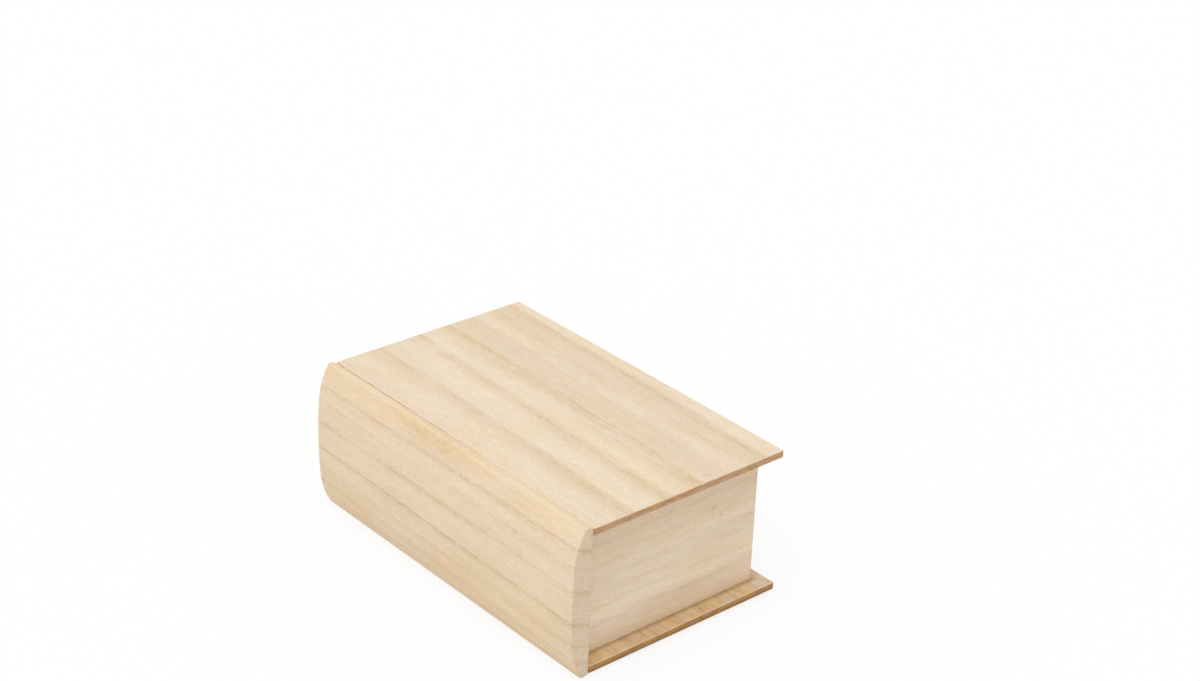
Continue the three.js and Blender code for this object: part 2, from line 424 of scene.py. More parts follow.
def board_rings(half, radii, ease, unevenness, random):
    """Rings round a board's section, an array of ring, point and (along, across, through) in millimetres.

    The section is a rectangle with rounded corners. A corner's arc is its centre, at the half size less
    the radius, plus the radius times (cos t, sin t), and straight lines join the arcs. The radius wavers
    along the board, and the whole ring is inset round the ends.
    """
    half_length, half_across, half_through = half
    position, inset, scale = stations(half_length, ease)
    signs = ((1, 1), (-1, 1), (-1, -1), (1, -1))
    turn = np.linspace(0, math.pi / 2, CORNER_STEPS + 1)
    arcs = []
    for corner, (across, through) in enumerate(signs):
        waver = 1 + unevenness * wavering(position, random)
        radius = np.maximum(radii[corner] * waver - inset, LEAST_RADIUS)[:, None]
        angle = turn + corner * math.pi / 2
        centre_across = across * ((half_across - inset)[:, None] - radius)
        centre_through = through * ((half_through - inset)[:, None] - radius)
        u = centre_across + radius * np.cos(angle)
        v = centre_through + radius * np.sin(angle)
        arcs.append(np.stack([u, v], axis=-1))
    loop = []
    for corner, arc in enumerate(arcs):
        following = arcs[(corner + 1) % 4]
        run = 2 * (half_across if corner % 2 == 0 else half_through)
        steps = max(3, int(run / POINT_SPACING))
        support = SIDE_SUPPORT / run
        share = np.concatenate([[support], np.linspace(0, 1, steps + 1)[1:-1], [1 - support]])
        share = share[None, :, None]
        loop += [arc, arc[:, -1:] * (1 - share) + following[:, :1] * share]
    loop = np.concatenate(loop, axis=1) * scale[:, None, None]
    return set_along(loop, position)


def arc_points(centre, radius, start, end, steps):
    """Points of an arc for each ring: its centre plus its radius times (sin a, cos a)."""
    share = np.linspace(0, 1, steps + 1)
    angle = np.reshape(start, (-1, 1)) * (1 - share) + np.reshape(end, (-1, 1)) * share
    direction = np.stack([np.sin(angle), np.cos(angle)], axis=-1)
    return centre[:, None] + np.reshape(radius, (-1, 1, 1)) * direction


def spine_rings(half_length, ease, step):
    """Rings round the spine's section, an array of ring, point and (along, up, forward) in millimetres.

    The section is convex and made of arcs, each its centre plus its radius times (sin a, cos a), where a
    is the angle of the outward normal above straight forward: back corner, lip, shoulder, crown,
    shoulder, lip, back corner, from top to bottom. Straight lines join them. Round the ends each radius
    shrinks by the inset. Towards the right end the step raises the back's corners above the covers.
    """
    position, inset, scale = stations(half_length, ease)
    crown_turn = math.asin(CROWN_BAND / 2 / CROWN_RADIUS)
    crown = (0.0, SPINE_THICKNESS - CROWN_RADIUS)
    shoulder_reach = CROWN_RADIUS - SHOULDER_RADIUS
    shoulder = (shoulder_reach * math.sin(crown_turn), crown[1] + shoulder_reach * math.cos(crown_turn))
    lip_up = SPINE_HALF_HEIGHT - LIP_RADIUS
    rise = lip_up - shoulder[0]
    reach = math.sqrt((SHOULDER_RADIUS - LIP_RADIUS) ** 2 - rise**2)
    lip = (lip_up, shoulder[1] + reach)
    shoulder_turn = math.atan2(rise, reach)
    to_right = 0.5 + position / half_length / 2
    back_up = SPINE_HALF_HEIGHT - SPINE_LIP + step * np.clip(to_right, 0, 1)
    to_lip = np.hypot(lip[1], back_up - lip_up)
    slope = np.arcsin(LIP_RADIUS / to_lip) - np.arctan2(back_up - lip_up, lip[1])
    lip_turn = math.pi / 2 + slope
    back_radius = np.maximum(BACK_RADIUS - inset, LEAST_RADIUS)
    depth = inset + back_radius
    back = np.stack([back_up + depth * (np.sin(slope) - 1) / np.cos(slope), depth], axis=-1)
    still = np.ones((len(inset), 1))
    upper = (
        (back, back_radius, math.pi, lip_turn, BACK_STEPS),
        (still * lip, LIP_RADIUS - inset, lip_turn, shoulder_turn, LIP_STEPS),
        (still * shoulder, SHOULDER_RADIUS - inset, shoulder_turn, crown_turn, SHOULDER_STEPS),
    )
    lower = tuple((c * (-1, 1), r, -b, -a, n) for c, r, a, b, n in reversed(upper))
    middle = (still * crown, CROWN_RADIUS - inset, crown_turn, -crown_turn, CROWN_STEPS)
    arcs = [arc_points(*row) for row in (*upper, middle, *lower)]
    # arcs that touch share a point, and it is kept once
    loop = arcs[:1] + [
        arc[:, 1:] if np.allclose(last[0, -1], arc[0, 0], atol=1e-6) else arc
        for last, arc in zip(arcs, arcs[1:])
    ]
    loop = np.concatenate(loop, axis=1)
    share = np.linspace(0, 1, FLAT_BACK_POINTS)[1:-1, None]
    loop = np.concatenate([loop, loop[:, -1:] * (1 - share) + loop[:, :1] * share], axis=1)
    middle = np.array([0.0, SPINE_THICKNESS / 2])
    loop = middle + (loop - middle) * scale[:, None, None]
    return set_along(loop, position)


def open_seam(rings, half_across, gap, random):
    """Draws a board's front edge back from the spine: gap (reach - along / half length) to the power,
    where the bracket is kept from 0 to 1, unevenly, and fading out away from the edge."""
    along = rings[..., 0]
    amount = gap * np.clip(SEAM_REACH - along / along.max(), 0, 1) ** SEAM_POWER
    amount = amount * (1 + SEAM_UNEVENNESS * wavering(along[:, 0], random))[:, None]
    fade = np.clip(1 - (rings[..., 1] + half_across) / SEAM_FADE, 0, 1)
    rings[..., 1] += amount * fade
    return rings


def place(rings, axes, centre):
    """Turns rings from a board's own frame to the box's: centre + along a + across u + through v."""
    return rings @ np.array(axes, float) + np.array(centre)


def board_size(node, axes):
    """The middle of a node and its half size along, across and through the board, in millimetres."""
    low, high = (np.array(corner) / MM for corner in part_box(node))
    return (low + high) / 2, np.abs(np.array(axes) @ (high - low)) / 2


def socket_name(key):
    """The name of a socket, from that of an argument: tone_amount is Tone Amount."""
    return key.replace("_", " ").title()


class Nodes:
    """Adds nodes to one tree. An input takes a socket, a number, a vector or a colour, and None leaves it
    as it is."""

    def __init__(self, tree):
        self.tree = tree

    def feed(self, socket, value):
        """Links a socket to an input, or sets the input's value."""
        if isinstance(value, bpy.types.NodeSocket):
            self.tree.links.new(value, socket)
        elif value is not None:
            if socket.type == "RGBA" and len(value) == 3:
                value = (*value, 1.0)
            socket.default_value = value

    def feed_named(self, node, values):
        """Feeds the inputs of a node by name, and returns its outputs."""
        for name, value in values.items():
            self.feed(node.inputs[name], value)
        return node.outputs

    def add(self, kind, *values, **settings):
        """Adds a node with its settings, and feeds its inputs in order."""
        node = self.tree.nodes.new("ShaderNode" + kind)
        for name, value in settings.items():
            setattr(node, name, value)
        for socket, value in zip(node.inputs, values):
            self.feed(socket, value)
        return node

    def group(self, name, **values):
        node = self.add("Group", node_tree=bpy.data.node_groups[name])
        return self.feed_named(node, {socket_name(key): value for key, value in values.items()})

    def maths(self, operation, *values):
        return self.add("Math", *values, operation=operation).outputs[0]

    def plus(self, *values):
        return self.maths("ADD", *values)

    def minus(self, *values):
        return self.maths("SUBTRACT", *values)

    def times(self, *values):
        return self.maths("MULTIPLY", *values)

    def times_plus(self, *values):
        """The first value times the second, plus the third."""
        return self.maths("MULTIPLY_ADD", *values)

    def vector(self, operation, *values):
        return self.add("VectorMath", *values, operation=operation).outputs[0]

    def join(self, x, y, z):
        return self.add("CombineXYZ", x, y, z).outputs[0]

    def split(self, vector):
        return self.add("SeparateXYZ", vector).outputs

    def smooth(self, value, low, high, to_low=0.0, to_high=1.0):
        """Maps low and high to the other two numbers, smoothly and no further."""
        values = (value, low, high, to_low, to_high)
        return self.add("MapRange", *values, interpolation_type="SMOOTHSTEP").outputs[0]

    def mix(self, kind, share, a, b, mode="MIX"):
        """Mixes two colours or two vectors. The node has sockets of its own for each kind."""
        first, result = {"RGBA": (6, 2), "VECTOR": (4, 1)}[kind]
        node = self.add("Mix", share, data_type=kind, blend_type=mode)
        self.feed(node.inputs[first], a)
        self.feed(node.inputs[first + 1], b)
        return node.outputs[result]

    def tint(self, share, a, b, mode="MIX"):
        return self.mix("RGBA", share, a, b, mode)

    def grained(self, colour_at, tone, amount):
        """A colour made lighter and darker by an amount of a tone about 0."""
        level = self.times_plus(tone, amount, 1.0)
        return self.vector("MULTIPLY", colour_at, self.join(level, level, level))

    def stretched(self, position, long, wide):
        """The position divided by a pattern's length along the grain and its width across it."""
        return self.vector("DIVIDE", position, self.join(long, wide, wide))

    def noise(self, vector, detail, roughness):
        values = {"Vector": vector, "Scale": 1.0, "Detail": detail, "Roughness": roughness}
        return self.feed_named(self.add("TexNoise"), values)

    def streaks(self, position, long, wide, detail=2.0, roughness=0.5):
        """Noise stretched along the grain."""
        return self.noise(self.stretched(position, long, wide), detail, roughness)


def arrange(tree):
    """Sets the nodes out in columns, each right of all the nodes that feed it."""
    column = {node: 0 for node in tree.nodes}
    for _ in range(len(tree.nodes)):
        for link in tree.links:
            column[link.to_node] = max(column[link.to_node], column[link.from_node] + 1)
    rows = {}
    for node in tree.nodes:
        rows[column[node]] = rows.get(column[node], 0) + 1
        node.location = (NODE_SPACING * column[node], -NODE_SPACING * rows[column[node]])


def new_socket(tree, name, side):
    """Adds an input or output to a group. Its kind goes by the last word of its name."""
    kind = SOCKET_KINDS.get(name.split()[-1], "Float")
    return tree.interface.new_socket(name, in_out=side, socket_type="NodeSocket" + kind)


def shader_group(build, *outputs):
    """Makes a shader node group out of the function that builds it. The function's arguments after the
    nodes are the group's inputs, with their defaults, and it returns what feeds each output."""
    tree = bpy.data.node_groups.new(build.__name__.removeprefix("build_"), "ShaderNodeTree")
    arguments = list(inspect.signature(build).parameters.values())[1:]
    for argument in arguments:
        socket = new_socket(tree, socket_name(argument.name), "INPUT")
        if argument.default is not argument.empty:
            socket.default_value = argument.default
    for name in outputs:
        new_socket(tree, name, "OUTPUT")
    nodes = Nodes(tree)
    given = tree.nodes.new("NodeGroupInput").outputs[: len(arguments)]
    result = tree.nodes.new("NodeGroupOutput").inputs
    for socket, value in zip(result, build(nodes, *given)):
        nodes.feed(socket, value)
    arrange(tree)


def build_fibres(
    nodes, position, streak_length=60.0, streak_width=1.6, fleck=2.2,
    pore_length=2.4, pore_width=0.5, pore_share=0.3,
):
    """Streaks, fibres, fuzz and flecks, each shorter and narrower than the last, as a tone about 0, and
    short pores that lie along the grain where a share allows them."""
    weights = sum(weight for *_, weight in FIBRE_LAYERS)
    # the tone starts at minus the mean of the noise times all the weights
    tone = nodes.times_plus(fleck, -NOISE_MEAN, -NOISE_MEAN * weights)
    for long_share, wide_share, weight in (*FIBRE_LAYERS, (*FLECK_SHARES, fleck)):
        part_long = nodes.times(streak_length, long_share)
        part_wide = nodes.times(streak_width, wide_share)
        part = nodes.streaks(position, part_long, part_wide, *FIBRE_DETAIL)["Fac"]
        tone = nodes.times_plus(part, weight, tone)
    cells = nodes.add("TexVoronoi", feature="F1")
    at = nodes.stretched(position, pore_length, pore_width)
    cells = nodes.feed_named(cells, {"Vector": at, "Scale": 1.0})
    near = nodes.smooth(cells["Distance"], *PORE_RANGE)
    chosen = nodes.maths("LESS_THAN", nodes.split(cells["Color"])[0], pore_share)
    return tone, nodes.times(near, chosen)


def build_ring_drift(
    nodes, position, slant=0.0, slope=0.0, fan=0.0, wander=1.0, wander_length=60.0, ripple=0.8
):
    """The place of a point among the growth lines, in millimetres: across + slant through + slope along
    + fan along across, plus a slow wander and a short ripple. The strength changes in patches."""
    along, across, through = nodes.split(position)
    ring = nodes.times_plus(through, slant, across)
    ring = nodes.times_plus(along, slope, ring)
    ring = nodes.times_plus(nodes.times(along, across), fan, ring)
    slow = nodes.streaks(position, wander_length, nodes.times(wander_length, WANDER_WIDTH))["Fac"]
    quick = nodes.streaks(position, *RIPPLE_NOISE)["Fac"]
    for part, reach in ((slow, wander), (quick, ripple)):
        ring = nodes.times_plus(nodes.times_plus(part, 2.0, -1.0), reach, ring)
    large = nodes.smooth(nodes.streaks(position, *LARGE_PATCH_NOISE)["Fac"], *LARGE_PATCHES)
    small = nodes.smooth(nodes.streaks(position, *SMALL_PATCH_NOISE)["Fac"], *SMALL_PATCHES)
    return ring, nodes.times(large, small)


def build_mottle(nodes, position, patch_length=45.0, patch_width=11.0):
    """Two independent slow changes over a board, of warmth and of tone, each about 0."""
    slow = nodes.streaks(position, patch_length, patch_width)["Color"]
    quick_length = nodes.times(patch_length, QUICK_MOTTLE_LENGTH)
    quick_width = nodes.times(patch_width, QUICK_MOTTLE_WIDTH)
    quick = nodes.streaks(position, quick_length, quick_width)["Color"]
    both = nodes.vector("ADD", slow, nodes.vector("MULTIPLY", quick, QUICK_MOTTLE_WEIGHTS))
    mean = [NOISE_MEAN * (1 + weight) for weight in QUICK_MOTTLE_WEIGHTS]
    warm, tone, _ = nodes.split(nodes.vector("SUBTRACT", both, mean))
    return warm, tone


def build_board_edges(nodes, position, half_size, reach=0.6, drawn_back=0.0):
    """Masks of a board's edges: end grain at the ends; side grain along the long edges, also where one is
    drawn back, but not on the ends; edge where two faces meet; and rim on the cut edge of a sheet, from
    a little under its upper face down to its lower one."""
    gaps = nodes.split(nodes.vector("SUBTRACT", half_size, nodes.vector("ABSOLUTE", position)))
    least = nodes.maths("MINIMUM", nodes.maths("MINIMUM", gaps[0], gaps[1]), gaps[2])
    most = nodes.maths("MAXIMUM", nodes.maths("MAXIMUM", gaps[0], gaps[1]), gaps[2])
    total = nodes.plus(nodes.plus(gaps[0], gaps[1]), gaps[2])
    edge = nodes.smooth(nodes.minus(nodes.minus(total, least), most), reach, 0.0)
    end_grain = nodes.smooth(gaps[0], *END_GRAIN_RANGE)
    side_grain = nodes.smooth(nodes.minus(gaps[1], drawn_back), *SIDE_GRAIN_RANGE)
    side_grain = nodes.times(side_grain, nodes.minus(1.0, end_grain))
    through = nodes.split(position)[2]
    half_through = nodes.split(half_size)[2]
    under = nodes.smooth(nodes.minus(half_through, through), *RIM_TOP_RANGE)
    over = nodes.smooth(nodes.plus(half_through, through), *RIM_FOOT_RANGE)
    return end_grain, side_grain, edge, nodes.times(under, over)


def build_corner_dust(nodes, position, foot, reach=2.0):
    """Painted shade in the corner at the foot of the walls: full at a rectangle's outline, none a reach
    away.
    """
    outside = nodes.split(nodes.vector("SUBTRACT", nodes.vector("ABSOLUTE", position), foot))
    away = nodes.maths("MAXIMUM", outside[0], outside[1])
    uneven = nodes.streaks(position, *DUST_NOISE)["Fac"]
    away = nodes.times_plus(nodes.minus(uneven, NOISE_MEAN), DUST_RAGGEDNESS, away)
    return (nodes.smooth(away, reach, 0.0),)


def oval_distance(nodes, position, centre, size):
    """How far a point is from the centre of an oval of the given half size, where 1 is its outline."""
    apart = nodes.vector("DIVIDE", nodes.vector("SUBTRACT", position, centre), size)
    return nodes.add("VectorMath", apart, operation="LENGTH").outputs["Value"]


def build_pin_knot(nodes, position, centre, size):
    """A pin knot: a dark dot inside an oval of the given half size, and a halo three times as large."""
    ragged = nodes.streaks(position, *KNOT_NOISE)["Fac"]
    away = oval_distance(nodes, position, centre, size)
    away = nodes.times_plus(nodes.minus(ragged, NOISE_MEAN), KNOT_RAGGEDNESS, away)
    return nodes.smooth(away, *DOT_RANGE), nodes.smooth(away, *HALO_RANGE)


def build_stain(nodes, position, centre, size):
    """A stain inside an oval of the given half size, strongest in the middle and broken into patches."""
    away = oval_distance(nodes, position, centre, size)
    patches = nodes.smooth(nodes.streaks(position, *STAIN_NOISE)["Fac"], *STAIN_PATCHES)
    return (nodes.times(nodes.smooth(away, *STAIN_RANGE), patches),)


def build_plies(nodes, position, half_size, core_share=0.34):
    """The core ply, the two glue lines, and the position turned so that the core's grain runs across."""
    along, across, through = nodes.split(position)
    waver = nodes.streaks(position, *PLY_NOISE)["Fac"]
    height = nodes.maths("DIVIDE", through, nodes.split(half_size)[2])
    height = nodes.plus(height, nodes.times_plus(waver, 2 * PLY_WAVER, -PLY_WAVER))
    height = nodes.maths("ABSOLUTE", height)
    outside = nodes.plus(core_share, CORE_OUTSIDE)
    core = nodes.smooth(height, outside, nodes.minus(core_share, CORE_INSIDE))
    glue = nodes.smooth(nodes.maths("ABSOLUTE", nodes.minus(height, core_share)), GLUE_REACH, 0.0)
    return core, glue, nodes.mix("VECTOR", core, position, nodes.join(across, along, through))


def build_cut_edge(
    nodes, position, face, edge_colour, warm_colour, dark_colour, side_colour,
    side_grain=0.0, rim=0.0, core=0.0, core_amount=0.3, glue=0.0, tone=0.0,
):
    """The cut edge of a sheet over the colour of its faces: warm and dark patches, core ply, glue lines."""
    patch = nodes.noise(nodes.vector("DIVIDE", position, CUT_PATCH_SIZE), *CUT_PATCH_DETAIL)["Color"]
    warm, dark, _ = nodes.split(patch)
    cut = nodes.tint(nodes.smooth(warm, *WARM_PATCHES), edge_colour, warm_colour)
    cut = nodes.tint(nodes.smooth(dark, *DARK_PATCHES), cut, dark_colour)
    cut = nodes.tint(nodes.times(side_grain, SIDE_PLY_STRENGTH), cut, side_colour)
    cut = nodes.tint(nodes.times(core, core_amount), cut, dark_colour)
    cut = nodes.tint(nodes.times(glue, GLUE_STRENGTH), cut, dark_colour)
    return (nodes.tint(rim, face, nodes.grained(cut, tone, CUT_EDGE_GRAIN)),)


def build_bare_wood(
    nodes, pale, line_colour, shade_colour, pore_colour, end_colour, edge_colour,
    lines=0.0, line_strength=1.0, shades=0.0, tone=0.0, tone_amount=0.16, warmth=0.0, slow_tone=0.0,
    mottle_amount=0.1, pores=0.0, pore_amount=0.2, end_grain=0.0, edge=0.0, edge_amount=0.25,
):
    """The colour, roughness and height of sanded bare wood from its masks. Shade and then growth lines
    are laid over the pale wood, the tone and warmth change the whole, and pores are set into it."""
    lines = nodes.times(lines, line_strength)
    face = nodes.tint(shades, pale, shade_colour)
    face = nodes.tint(lines, face, line_colour)
    total = nodes.plus(nodes.times(tone, tone_amount), nodes.times(slow_tone, mottle_amount))
    warm = nodes.times(warmth, mottle_amount)
    levels = [
        nodes.times_plus(warm, warm_share, nodes.times_plus(total, tone_share, 1.0))
        for tone_share, warm_share in zip(TONE_SHARES, WARMTH_SHARES)
    ]
    face = nodes.vector("MULTIPLY", face, nodes.join(*levels))
    end = nodes.grained(end_colour, tone, END_FIBRES)
    end_line = nodes.tint(1.0, end_colour, line_colour, "MULTIPLY")
    end = nodes.tint(nodes.times(lines, END_LINES), end, end_line)
    face = nodes.tint(end_grain, face, end)
    face = nodes.tint(nodes.times(pores, pore_amount), face, pore_colour)
    face = nodes.tint(nodes.times(edge, edge_amount), face, edge_colour)
    rough = nodes.times_plus(tone, FIBRE_ROUGHNESS, ROUGHNESS)
    rough = nodes.times_plus(end_grain, END_ROUGHNESS, rough)
    height = nodes.times_plus(lines, LINE_HEIGHT, nodes.times_plus(pores, PORE_HEIGHT, tone))
    return face, rough, height


def make_groups():
    """Makes the shader node groups that the woods share, each with the names of its outputs."""
    shader_group(build_fibres, "Tone", "Pores")
    shader_group(build_ring_drift, "Ring", "Strength")
    shader_group(build_mottle, "Warmth", "Slow Tone")
    shader_group(build_board_edges, "End Grain", "Side Grain", "Edge", "Rim")
    shader_group(build_corner_dust, "Dust")
    shader_group(build_pin_knot, "Dot", "Halo")
    shader_group(build_stain, "Stain")
    shader_group(build_plies, "Core", "Glue", "Grain Position")
    shader_group(build_cut_edge, "Color")
    shader_group(build_bare_wood, "Color", "Roughness", "Height")


def ring_ramp(nodes, ring, places, levels):
    """A grey ramp with a level at each place of the ring coordinate, joined by straight lines."""
    low, high = float(places[0]), float(places[-1])
    ramp = nodes.add("ValToRGB", nodes.add("MapRange", ring, low, high, 0.0, 1.0).outputs[0])
    elements = ramp.color_ramp.elements
    while len(elements) < len(places):
        elements.new(0.5)
    for element, where, level in zip(elements, (np.array(places) - low) / (high - low), levels):
        element.position = where
        element.color = (level, level, level, 1)
    return ramp.outputs[0]


def ring_lines(nodes, ring, lines):
    """Growth lines as a ramp. A line is (place, strength, rise, tail, tail share). It rises from nothing
    over the rise above its place, drops to the tail share a quarter of the tail below it, and fades out
    over the rest. Up to eight lines fit."""
    shapes = []
    for place_at, strength, rise, tail, share in lines:
        at = (place_at - tail, place_at - TAIL_BEND * tail, place_at, place_at + rise)
        shapes.append((at, (0, strength * share, strength, 0)))
    places = sorted({at for shape, _ in shapes for at in shape})
    return ring_ramp(nodes, ring, places, np.max([np.interp(places, *shape) for shape in shapes], axis=0))


def ring_shades(nodes, ring, shades):
    """Broad shades as a ramp, from rows of place and level."""
    return ring_ramp(nodes, ring, *zip(*sorted(shades)))


def growth_lines(seed, half, spacing, strength):
    """Growth lines at uneven places over a board, for faces whose lines the photograph doesn't show."""
    random = np.random.default_rng(seed)
    places = np.cumsum(spacing * random.uniform(0.6, 1.5, MOST_LINES)) - half - spacing
    rows = []
    for place_at in places[places < half + 2]:
        share = strength * random.uniform(0.4, 1)
        rows.append((float(place_at), share, random.uniform(0.5, 1.3), random.uniform(2.5, 6), 0.5))
    return rows


def uneven_shades(seed, half, level):
    """Broad shades at even places over a board, of random levels."""
    random = np.random.default_rng(seed + SHADE_SEED)
    places = np.linspace(-half, half, SHADE_COUNT)
    return [(float(place_at), level * random.uniform(0, 1)) for place_at in places]


def cover_wood(colours):
    """The top cover: four brown growth lines with soft tails, over grey-brown and bright zones."""
    return {
        "pale": colours.cover,
        "line": colours.cover_line,
        "shade": colours.cover_shade,
        "edge": colours.cover_arris,
        "rim": (colours.cover_rim, colours.cover_rim_warm, colours.cover_rim_dark),
        "core": 0.25,
        "side_ply": colours.cover_side,
        "drawn_back": bpy.context.scene.book_box_edges.seam_gap / MM,
        "lines": (
            (38.2, 0.43, 1.8, 4.0, 0.5),
            (7.8, 0.46, 2.0, 10.0, 0.7),
            (-9.0, 0.47, 3.6, 6.5, 0.65),
            (-26.1, 0.44, 2.0, 8.0, 0.65),
            (18.8, 0.12, 2.0, 3.0, 0.5),
        ),
        "shades": (
            (41.0, 0.05), (37.5, 0.5), (29.5, 0.5), (24.0, 0.16), (18.0, 0.42),
            (11.0, 0.42), (8.5, 0.15), (-3.0, 0.0), (-20.0, 0.0), (-30.0, 0.12),
            (-38.0, 0.08), (-45.0, 0.25),
        ),
        "drift": {"slope": 0.027, "wander": 1.4, "wander_length": 50.0, "ripple": 0.9},
        "fibres": {"streak_length": 50.0, "streak_width": 1.8},
        "amounts": {"tone_amount": 0.17, "mottle_amount": 0.14, "edge_amount": 0.3},
        "knots": (((20.0, 9.5, 1.5), 0.35), ((74.0, 11.0, 1.5), 0.4), ((45.0, 37.0, 1.5), 0.35)),
    }


def ledge_wood(colours):
    """The bottom cover: browner, with strong streaks, and painted shade at the foot of the walls."""
    return {
        "pale": colours.ledge,
        "line": colours.ledge_line,
        "shade": colours.cover_shade,
        "edge": colours.cover_arris,
        "rim": (colours.ledge_rim, colours.ledge_rim_warm, colours.ledge_rim_dark),
        # The dark core lies below the middle, so the cut edge is darker low down: the core ply, and painted
        # shade by the floor
        "core": 0.4,
        "core_drop": 0.6,
        "drawn_back": bpy.context.scene.book_box_edges.seam_gap / MM,
        "lines": growth_lines(12, 46, 13, 0.5),
        # Painted light: the shade colour, paler than this face, lightens the rear strip of the ledge where
        # light passes behind the side panel
        "shades": ((-46.0, 0.0), (34.0, 0.0), (40.0, 0.55), (46.0, 0.6)),
        "drift": {"slope": 0.03, "wander": 4.0, "wander_length": 30.0, "ripple": 1.4},
        "fibres": {"streak_length": 22.0, "streak_width": 1.8, "pore_share": 0.45},
        "amounts": {"tone_amount": 0.36, "mottle_amount": 0.4, "edge_amount": 0.24},
        "cut": (210.0, 37.0, 11.0),
        "foot": (70.5, 40.0, 0.0),
    }


def drawer_bottom_wood(colours):
    """The drawer's thin bottom: orange-brown, with dark edges."""
    return {
        "pale": colours.drawer_ply,
        "line": colours.drawer_line,
        "shade": colours.drawer_shade,
        "edge": colours.drawer_ply,
        "rim": (colours.drawer_rim, colours.ledge_rim_warm, colours.ledge_rim_dark),
        "core": 0.3,
        "lines": growth_lines(13, 37, 12, 0.6),
        "shades": uneven_shades(13, 37, 0.4),
        "drift": {"slope": -0.02, "wander": 3.0},
        "fibres": {},
        "amounts": {"tone_amount": 0.26, "mottle_amount": 0.16},
        "cut": (90.0, 140.0, 31.0),
        "inside": (1.0, colours.drawer_inside),
    }


def spine_wood(colours):
    """The spine: seven growth lines that slant through the board and show again on its ends."""
    return {
        "pale": colours.spine,
        "line": colours.spine_line,
        "shade": colours.spine_shade,
        "end": colours.spine_end,
        "edge": colours.spine,
        "lines": (
            (22.0, 0.45, 1.3, 2.8, 0.4),
            (15.2, 0.14, 0.8, 1.6, 0.4),
            (5.9, 0.36, 1.6, 3.0, 0.5),
            (-6.4, 0.52, 1.1, 2.6, 0.4),
            (-15.1, 0.28, 1.1, 2.2, 0.4),
            (-21.8, 0.38, 1.0, 2.0, 0.4),
            (-27.0, 0.26, 0.8, 1.6, 0.4),
        ),
        "shades": (
            (30.0, 0.6), (24.0, 0.5), (20.0, 0.15), (5.0, 0.0), (-6.0, 0.15), (-14.0, 0.5),
            (-30.0, 0.7),
        ),
        "drift": {
            "slant": -0.375,
            "slope": 0.008,
            "fan": -0.0006,
            "wander": 0.9,
            "wander_length": 60.0,
            "ripple": 0.75,
        },
        "fibres": {"streak_length": 60.0, "streak_width": 1.5},
        "amounts": {"tone_amount": 0.17, "mottle_amount": 0.13, "edge_amount": 0.0},
        "knots": (
            ((-20.0, 28.8, -1.5), 0.45),
            ((-17.5, 28.0, -0.5), 0.35),
            ((-13.0, 27.4, 0.2), 0.3),
            ((-20.0, 22.6, 2.6), 0.3),
            ((5.5, 22.4, 2.7), 0.2),
        ),
        "stains": (((-6.0, 29.0, -1.0), (42.0, 6.0, 9.0)),),
    }


def side_wood(colours):
    """The right side panel: pinkish above and below, and darker there in part as painted shade, under the
    cover and by the ledge; lighter in the middle, with thin broken lines.
    """
    return {
        "pale": colours.panel,
        "line": colours.panel_line,
        "shade": colours.panel_shade,
        "end": colours.panel_end,
        "edge": colours.panel_edge,
        "lines": (
            (19.0, 0.2, 1.4, 3.0, 0.5),
            (3.0, 0.2, 1.2, 2.6, 0.5),
            (-8.0, 0.14, 1.0, 1.8, 0.5),
            (-15.5, 0.24, 1.2, 2.4, 0.5),
            (-18.5, 0.14, 1.0, 1.8, 0.4),
        ),
        # The strongest shades, at the top under the cover and at the foot by the ledge, are partly painted
        # shade
        "shades": (
            (27.0, 0.75), (14.0, 0.55), (7.0, 0.25), (0.0, 0.3), (-4.0, 0.05),
            (-12.0, 0.0), (-15.0, 0.4), (-27.0, 0.6),
        ),
        "drift": {"slant": 0.3, "slope": -0.02, "wander": 2.2, "wander_length": 45.0, "ripple": 1.2},
        "fibres": {"streak_length": 34.0, "streak_width": 1.7, "fleck": 1.6},
        "amounts": {"tone_amount": 0.2, "mottle_amount": 0.17, "edge_amount": 0.4},
        "knots": (((21.0, 11.5, 3.5), 0.4), ((25.0, 7.5, 3.5), 0.3)),
    }


def panel_wood(colours, seed):
    """A panel of the carcass that the photograph doesn't show, of the same wood as the side panel."""
    return {
        **side_wood(colours),
        "lines": growth_lines(seed, 28, 9, 0.4),
        "shades": uneven_shades(seed, 28, 0.7),
        "cut": (17.0 * seed, 8.0 * seed, 3.0),
        "knots": (),
    }


def drawer_wood(colours, seed, inner):
    """A board of the drawer, with strong brown streaks. Inner is the side of it that faces the inside."""
    return {
        "pale": colours.drawer,
        "line": colours.drawer_line,
        "shade": colours.drawer_shade,
        "end": colours.drawer_end,
        "edge": colours.drawer_edge,
        "lines": growth_lines(seed, 25, 7.5, 1.3),
        "shades": uneven_shades(seed, 25, 0.9),
        "drift": {"slant": 0.5, "slope": 0.03, "wander": 3.5, "wander_length": 50.0, "ripple": 1.2},
        "fibres": {"streak_length": 45.0, "streak_width": 1.9, "fleck": 0.5, "pore_share": 0.4},
        "amounts": {"tone_amount": 0.46, "mottle_amount": 0.3, "edge_amount": 0.35},
        "cut": (31.0 * seed, 12.0 * seed, 5.0),
        "upper_edge": colours.drawer_edge,
        "inside": (inner, colours.drawer_inside),
    }


